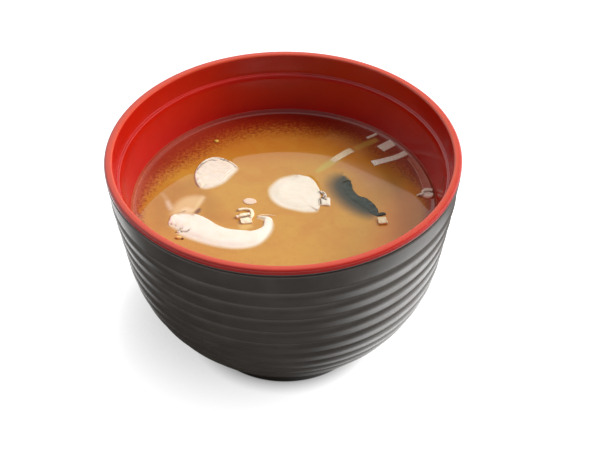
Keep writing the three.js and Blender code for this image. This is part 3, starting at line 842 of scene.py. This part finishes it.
# Loose crumbs and a thread that the solids leave out
crumbs = {
    # the golden crumb's crack is drawn near black, a painted shade
    "golden": {"rows": [(-33.4, -17.4, 0.2), (-32.9, -17.3, 0.55), (-32.2, -17.3, 0.6), (-31.7, -17.5, 0.25)],
               "rise": 0.5, "cracks": [[(-31.5, -17.6), (-31.0, -17.7)]],
               "look": leekLook((0.85, 0.58, 0.22), (0.60, 0.30, 0.08), (0.62, 0.34, 0.12),
                                (0.05, 0.02, 0.01))},
    "hull": {"rows": [(-31.5, -17.6, 0.2), (-31.2, -17.7, 0.4), (-30.8, -17.8, 0.2)], "rise": 0.35,
             "look": leekLook((0.16, 0.06, 0.02), (0.08, 0.03, 0.01), (0.40, 0.18, 0.05))},
    "yellow": {"rows": [(-23.7, 31.7, 0.25), (-23.1, 31.8, 0.7), (-22.2, 31.9, 0.3)], "rise": 0.45,
               "look": leekLook((0.72, 0.50, 0.09), (0.50, 0.28, 0.03), (0.50, 0.24, 0.04))},
    "thread": {"rows": [(-8.4, -7.2, 0.22), (-6.9, -6.6, 0.28), (-5.2, -6.6, 0.25), (-2.7, -6.8, 0.12)],
               "look": leekLook((0.90, 0.68, 0.44), (0.80, 0.52, 0.28), (0.66, 0.40, 0.19)), "rise": 0.2},
}


def makeCrumbs():
    for name, crumb in crumbs.items():
        name += "Crumb"
        piece = {**lump, "fullWidth": 0.5, "sink": 0.5, "around": 20, **crumb}
        makeLeek(name, [piece], leekMaterial(name, crumb["look"]), cracks=crumb.get("cracks", ()), bumpy=0.1,
                 slot="broth")
    print("crumbs")


# A small cube of tofu, with the dark tip of the leaf behind it
tofu = {"x": 30.9, "y": -9.9, "width": 2.9, "depth": 3, "height": 2.2, "rise": 0.8, "rounding": 0.3,
        "turn": math.radians(8), "longestEdge": 0.3,
        "main": (0.90, 0.76, 0.52), "mottle": (0.74, 0.50, 0.22), "low": (0.74, 0.50, 0.22)}
leafTip = {**lump, "rows": [(29.6, -7.1, 0.3), (30.4, -6.5, 0.75), (31.4, -6.3, 0.7), (32.1, -6.6, 0.3)],
           "half": 0.45, "main": (0.010, 0.012, 0.006), "mottle": (0.03, 0.035, 0.02)}


def makeTofu():
    material, tree, shader = newMaterial("beanCurd", Roughness=0.4, IOR=1.4, Subsurface_Weight=0.3,
                                         Subsurface_Scale=1.0 * mm)
    paint(shader, grainOf(tree, 0.9, detail=4).between(0.4, 0.7) * 0.5, tofu, "low")
    bumpFrom(shader, grainOf(tree, 0.5, detail=4), 0.5, 0.1)
    work = bmesh.new()
    bmesh.ops.create_cube(work, size=1.0)
    bmesh.ops.scale(work, vec=(tofu["width"], tofu["depth"], tofu["height"]), verts=work.verts)
    bmesh.ops.bevel(work, geom=list(work.edges), offset=tofu["rounding"], segments=4, profile=0.5,
                    affect="EDGES")
    bmesh.ops.triangulate(work, faces=work.faces)
    for _ in range(3):
        long = [edge for edge in work.edges if edge.calc_length() > tofu["longestEdge"]]
        bmesh.ops.subdivide_edges(work, edges=long, cuts=1)
        bmesh.ops.triangulate(work, faces=work.faces)
    turn = Matrix.Rotation(tofu["turn"], 3, "Z")
    points, lowness = [], []
    for vertex in work.verts:
        push = 0.1 * noise.noise(vertex.co * 1.3) + 0.04 * noise.noise(vertex.co * 4)
        place = turn @ (vertex.co * (1 + push / 1.5))
        points.append((place.x + tofu["x"], place.y + tofu["y"],
                       place.z + broth["level"] + tofu["rise"] - tofu["height"] / 2))
        lowness.append(float(1 - eased(0.1, 0.75, points[-1][2] - broth["level"])))
    work.verts.index_update()
    faces = [tuple(vertex.index for vertex in face.verts) for face in work.faces]
    work.free()
    newPiece("tofuCube", points, faces, material, ("tofu_cube",), {"low": lowness})
    dark, tree, shader = newMaterial("leafTip", Roughness=0.3, IOR=1.4)
    paint(shader, grainOf(tree, 0.6).between(0.4, 0.6), leafTip)
    newLofts("leafTip", [leafTip], dark, (),
             lambda piece, part, index: (part["upright"] * piece["half"] * part["taper"], {}))
    print("tofu")


# What is wholly sunk, and the haze round what dips under: each tints the broth above it.

def haze(amount, soft, colour, *rows, **more):
    # how strong it is, how far its edge fades, its colour, and its rows of x, y and half width
    return {"rows": rows, "colour": colour, "amount": amount, "soft": soft, **more}


hazes = [
    # brown patches on the left
    haze(0.42, 5, (0.33, 0.11, 0.012), (-29, 9.5, 1.5), (-36.5, 3.5, 3.5), (-39, -5, 3),
         (-37.5, -12.5, 1.5)),
    haze(0.36, 4, (0.33, 0.11, 0.012), (-27, 5, 1), (-24, -0.5, 2.2), (-23.5, -8, 2.2)),
    # a painted warm shadow on the broth at the leaf's left
    haze(0.3, 3, (0.20, 0.12, 0.07), (15, 13.5, 0.8), (14.6, 9.5, 1.6), (16, 4, 1.6), (19, -1.2, 1.4),
         (23, -5.4, 0.8)),
    # the leaf's sunk edge
    haze(0.97, 3.8, (0.020, 0.030, 0.018), (19.4, 13, 0.5), (19, 11.8, 1.9), (18.6, 8.6, 3),
         (19.5, 4.4, 2.8), (21.8, 0.5, 2.7), (24.4, -2.2, 2.8), (26.6, -4.7, 2.3), (28.5, -6.7, 1.1),
         crisp=0.9, crispTowards=(0.85, 0.5), crispRange=(0.0, 0.6)),
    # the stem fan with a streak and its base
    haze(0.72, 1.9, (0.78, 0.56, 0.29), (-34.8, -5.9, 0.4), (-32.6, -2.6, 2), (-30.2, -0.4, 2.6),
         (-27.8, 1.2, 1.8), (-26.2, 2.3, 0.5)),
    haze(0.6, 0.8, (0.84, 0.66, 0.36), (-28.6, -4.6, 0.5), (-27.2, -1.2, 0.5), (-25.8, 2.6, 0.3)),
    haze(0.7, 1.2, (0.86, 0.69, 0.44), (-32.4, -5.3, 0.6), (-30.9, -4.6, 1.6), (-28.9, -4.4, 1)),
    # dark spots where the fan meets the slice, painted shade
    haze(0.85, 0.5, (0.17, 0.06, 0.035), (-27.9, -5.6, 0.5), (-27.2, -4.6, 0.7), (-26.6, -3.2, 0.3)),
    haze(0.8, 0.5, (0.34, 0.15, 0.07), (-35.4, -8.2, 0.2), (-33.8, -6.2, 0.3), (-31.2, -4.4, 0.2)),
    # the thin strip
    haze(0.45, 1.1, (0.70, 0.46, 0.24), (-39.2, 4.4, 0.2), (-37.9, 2.2, 0.4), (-36.3, -1.7, 0.5)),
    haze(0.6, 0.9, (0.77, 0.60, 0.43), (-37.2, 0.4, 0.3), (-36.4, -1.8, 0.6), (-35.7, -3.6, 0.5)),
    # the long shred's two sunk ends
    haze(0.64, 1.1, (0.54, 0.45, 0.09), (10.6, 15.2, 0.4), (13.5, 18.2, 1), (17.6, 22.3, 1.1)),
    haze(0.75, 0.8, (0.62, 0.38, 0.07), (23.6, 27.5, 1), (27.4, 30.1, 1.1), (31.2, 32.6, 0.9)),
    # below the leek crumbs
    haze(0.75, 1, (0.74, 0.48, 0.16), (-13.6, -12.2, 1), (-12, -11.6, 1.5), (-10.2, -11, 1.2)),
    # warm patches on the right
    haze(0.35, 4, (0.50, 0.19, 0.10), (20.5, 19.5, 1.2), (26, 14.5, 2.5), (30, 8.5, 2.2)),
    # the band along the right wall is painted brighter orange, partly painted light that lifts the rim's
    # shade
    haze(0.55, 6, (0.82, 0.27, 0.035), (41, 6, 1), (38.5, 0, 3.5), (36.5, -6, 4.5), (34, -16, 4),
         (28, -24, 2)),
    haze(0.45, 4, (0.62, 0.26, 0.07), (15.5, 34.5, 1), (21, 31.5, 2), (26, 25, 1.5)),
]
# the back colour paints the far side darker and redder, partly painted shade; the edge colours are thin broth
# over the red wall
brothLook = {
    "front": (0.585, 0.30, 0.042), "warm": (0.53, 0.215, 0.028), "back": (0.49, 0.15, 0.018),
    "grains": (0.20, 0.035, 0.006), "edge": (0.27, 0.0085, 0.0035), "edgeNear": (0.42, 0.085, 0.042),
}


def tintOf(places):
    # premultiplied colour and how much of the broth's own colour it covers
    colour = np.zeros((len(places), 3))
    cover = np.zeros(len(places))

    def lay(amount, tint):
        nonlocal colour, cover
        colour = colour * (1 - amount[:, None]) + tint * amount[:, None]
        cover = cover * (1 - amount) + amount

    for patch in hazes:
        reach, outwards = reachTo(places, outlineOf(patch))
        under = slidesUnder(patch, outwards, places) if "crispRange" in patch else 1
        crisp = patch.get("crisp", 0)
        soft = crisp + (patch["soft"] - crisp) * under
        lay(patch["amount"] * (1 - eased(-0.6, 1.0, reach / soft)), np.array([patch["colour"]]))
    for piece in (mushroomLeft, mushroomCentre, mushroomFront, mushroomFlap):
        reach, outwards = reachTo(places, outlineOf(piece))
        under = slidesUnder(piece, outwards, places)
        part = sinkingAt(reach)[:, None]
        tint = np.array(fleshLook["main"]) * (1 - part) + np.array(fleshLook["sinking"]) * part
        blurred, crisp = (1 - eased(-0.4, blur, reach) for blur in (piece["blur"], 0.05))
        lay(under * blurred + (1 - under) * crisp, tint)
    return colour, cover


def brothMaterial():
    material, tree, shader = newMaterial("misoBroth", Roughness=0.02, IOR=1.4, Specular_IOR_Level=0.5)
    look = brothLook
    slow = grainOf(tree, 10, detail=4, Roughness=0.55, Distortion=0.4)
    fine = grainOf(tree, 1.3, detail=5, Roughness=0.7, Distortion=0.3)
    specks = grainOf(tree, 1.0, Roughness=0.7)
    back, edge, grains = mark(tree, "back"), mark(tree, "edge"), mark(tree, "grains")
    colour = blended(back, look["front"], look["back"])
    colour = blended(slow.between(0.38, 0.68) * 0.6, colour, look["warm"])
    colour = blended(fine.between(0.50, 0.72) * (0.35 + 0.4 * back), colour, look["warm"])
    rim = blended(mark(tree, "near"), look["edge"], look["edgeNear"])
    thin = (edge + (fine - 0.5) * 0.45 + (specks - 0.5) * grains * 1.5).between(-0.05, 1.05)
    colour = blended(thin, colour, rim)
    settled = (specks * 0.65 + fine * 0.35).between(0.44, 0.66)
    colour = blended(settled * grains * 0.6, colour, look["grains"])
    colour = blended(mark(tree, "cover"), colour, mark(tree, "tint", "Color"))
    wire(shader.inputs["Base Color"], colour)
    return material


def makeBroth():
    around, overlap = broth["around"], broth["overlap"]
    outer = wallRadius + overlap
    inner = outer - broth["fineZone"]
    fine = inner + broth["fineZone"] * np.linspace(0, 1, broth["fineRings"]) ** 0.8
    radii = np.r_[0, np.arange(broth["rings"], inner, broth["rings"]), fine]
    profile = [(radius, 0.0) for radius in radii]
    profile += wallRun(innerWall, broth["level"] + broth["wallRise"] - 0.8, bowl["floor"], overlap, 14)
    profile += [(bowl["floorRing"], bowl["floor"]), (0, bowl["floor"])]
    points, faces = turned(profile, around)
    points = np.array(points)
    surface = 1 + (len(radii) - 1) * around
    flat = points[:surface, :2]
    points[:surface, 2] = brothHeight(flat)
    for piece in (mushroomLeft, mushroomCentre, mushroomFront):
        reach, outwards = reachTo(flat, outlineOf(piece))
        climb = broth["sliceRise"] * (1 - slidesUnder(piece, outwards, flat)) * (reach > -edgeRounding)
        points[:surface, 2] += climb * np.exp(-np.maximum(reach, 0) / broth["sliceReach"])
    x, y = flat.T
    turn = np.arctan2(y, x)
    toFar, toRight = np.sin(turn), np.cos(turn)
    # the broth shows the wall's red where it is thin over the sloping wall; this red zone is wider, and the
    # broth darker and redder, on its far side, partly painted shade, with settled grains there
    farther = eased(-0.2, 0.9, toFar) * (1 - 0.3 * eased(0.1, 0.8, toRight))
    zone = broth["thinNear"] + broth["thinFar"] * farther + broth["thinSides"] * eased(0.5, 1.0, abs(toRight))
    edge = 1 - eased(0.1, 1.1, np.maximum(wallRadius - np.hypot(x, y), 0) / zone)
    back = eased(14, 33, y - 0.1 * x + 0.6 * np.maximum(x - 12, 0))
    grains = eased(0.0, 0.45, edge) * (1 - 0.5 * eased(0.8, 1.0, edge))
    grains *= eased(-0.5, 0.3, toFar + 0.3 * (x < 0))
    near = (1 - eased(-40, -10, x)) * (1 - 0.65 * eased(5, 22, y)) + 0.6 * eased(12, 36, x)
    tint, cover = tintOf(flat)
    # each mark on the surface, and its value on the sides and the floor
    below = len(points) - surface
    marks = {name: np.r_[values, np.full(below, rest)] for name, values, rest in (
        ("edge", edge, 1), ("back", back, 1), ("grains", grains, 0), ("cover", cover, 0), ("near", near, 0))}
    marks["tint"] = np.vstack([tint / np.maximum(cover, 1e-4)[:, None], np.zeros((below, 3))])
    newPiece("misoBroth", points, faces, brothMaterial(), ("soup",), marks)
    print("broth", len(points), "points")


# Room, in metres: a pale floor, a wide soft light behind, a key light from the right, and a grey
# surround. To mirrors the room is dark in front of the bowl and pale behind it.
room = {
    "seen": 1.12, "bounce": 0.42, "bounceRange": (0.033, 0.09, 0.1), "glow": 1.5, "openFloor": (0.11, 0.28),
    "surroundFront": 0.2, "surroundBack": 0.52, "mirrorFront": 0.45, "mirrorBack": 1.6, "white": 0.25,
    "corner": {"side": (0.01, 0.016), "base": (0.58, 0.60), "top": (0.6055, 0.6069), "slope": 0.328,
               "dark": 0.9},
    "shades": [{"reach": 0.006, "towards": (0.0, 0.0, 1.0)}, {"reach": 0.03, "towards": (0.75, -0.6, 0.35)}],
    "reflectors": [{"x": 0.064, "y": -0.012, "reach": 0.07, "glow": 1.4},
                   {"x": -0.062, "y": 0.045, "reach": 0.064, "glow": 1.4}],
    "lights": {
        "backPanel": {"place": (0.0, 1.35, 1.15), "size": (1.5, 0.75), "brightness": 1.1},
        "keyPanel": {"place": (1.15, 0.35, 0.95), "size": (0.8, 0.8), "brightness": 13.6},
    },
}


def raysOf(tree):
    # 1 for what the camera sees itself, and 1 for what a mirror sees
    path = put(tree, "ShaderNodeLightPath")
    return Reading(path.outputs["Is Camera Ray"]), Reading(path.outputs["Is Glossy Ray"])


def distanceFrom(x, y):
    return (x * x + y * y).run("SQRT")


def makeFloor():
    bpy.ops.mesh.primitive_plane_add(size=6, location=(0, 0, -0.0001))
    floor = bpy.context.object
    floor.name = "floor"
    material, tree, shader = newMaterial("paleFloor", Roughness=0.8, Specular_IOR_Level=0.2,
                                         Base_Color=(*[room["white"]] * 3, 1), Emission_Color=(1, 1, 1, 1))
    seen, mirrored = raysOf(tree)
    shown = seen * room["seen"]
    for shade in room["shades"]:
        # the second shade leans, so that the bowl's shadow falls to its left
        way = put(tree, "ShaderNodeCombineXYZ", **dict(zip("XYZ", shade["towards"])))
        node = put(tree, "ShaderNodeAmbientOcclusion", Distance=shade["reach"], Normal=way.outputs[0])
        shown = shown * Reading(node.outputs["AO"])
    x, y, _ = partsOf(tree, put(tree, "ShaderNodeTexCoord").outputs["Object"])
    fromBowl = distanceFrom(x, y)
    # mirrors see a white reflector on each side of the bowl and the open floor further off
    glow = fromBowl.between(*room["openFloor"])
    for card in room["reflectors"]:
        away = distanceFrom(x - card["x"], y - card["y"])
        glow = glow.run("MAXIMUM", away.between(0.02, card["reach"], card["glow"], 0.0))
    bounce = fromBowl.between(*room["bounceRange"]) * room["bounce"]
    unseen = bounce + mirrored * (glow * room["glow"] - bounce)
    wire(shader.inputs["Emission Strength"], shown + (1 - seen) * unseen)
    floor.data.materials.append(material)


def makeSurround():
    world = bpy.data.worlds.new("paleRoom")
    world.use_nodes = True
    air = world.node_tree
    colour, strength = air.nodes["Background"].inputs[:2]
    wire(colour, (1, 1, 1, 1))
    seen, mirrored = raysOf(air)
    x, y, z = partsOf(air, put(air, "ShaderNodeTexCoord").outputs["Generated"])
    mirrorRoom = y.between(-0.7, 0.2, room["mirrorFront"], room["mirrorBack"])
    # a dark corner low at the back right
    corner = room["corner"]
    dark = x.between(*corner["side"]) * (1 - (z - corner["slope"] * x).between(*corner["top"]))
    mirrorRoom = mirrorRoom * (1 - corner["dark"] * dark * z.between(*corner["base"]))
    plain = y.between(-0.8, 0.4, room["surroundFront"], room["surroundBack"]) * x.between(-0.9, 0.3, 0.85)
    wire(strength, plain + mirrored * (mirrorRoom - plain) + seen * (1 - plain))
    bpy.context.scene.world = world


def makeLights():
    for name, panel in room["lights"].items():
        data = bpy.data.lights.new(name, "AREA")
        data.shape = "RECTANGLE"
        data.size, data.size_y = panel["size"]
        data.energy = panel["brightness"] * math.pi * data.size * data.size_y
        light = newObject(name, data)
        light.location = panel["place"]
        light.visible_glossy = False
        light.rotation_euler = Vector(panel["place"]).to_track_quat("Z", "Y").to_euler()


view = {"tilt": math.radians(41.383), "roll": -0.003525, "lens": 78, "place": (5.085, -318.134, 319.730)}


def makeCamera():
    data = bpy.data.cameras.new("camera")
    data.sensor_width = 36
    data.lens = view["lens"]
    data.clip_start = 0.01
    camera = newObject("camera", data)
    tiltSine, tiltCosine = math.sin(view["tilt"]), math.cos(view["tilt"])
    rollSine, rollCosine = math.sin(view["roll"]), math.cos(view["roll"])
    right, up, back = (1, 0, 0), (0, tiltSine, tiltCosine), (0, -tiltCosine, tiltSine)
    turnedRight = [rollCosine * r + rollSine * u for r, u in zip(right, up)]
    turnedUp = [rollCosine * u - rollSine * r for r, u in zip(right, up)]
    place = [mm * part for part in view["place"]]
    camera.matrix_world = Matrix([*zip(turnedRight, turnedUp, back, place), (0, 0, 0, 1)])
    bpy.context.scene.camera = camera
    bpy.context.scene.view_settings.view_transform = "Standard"


makeShell()
makeLiner()
makeMushrooms()
makeWakame()
makeLeeks()
makeTofu()
makeCrumbs()
makeBroth()
makeFloor()
makeSurround()
makeLights()
makeCamera()
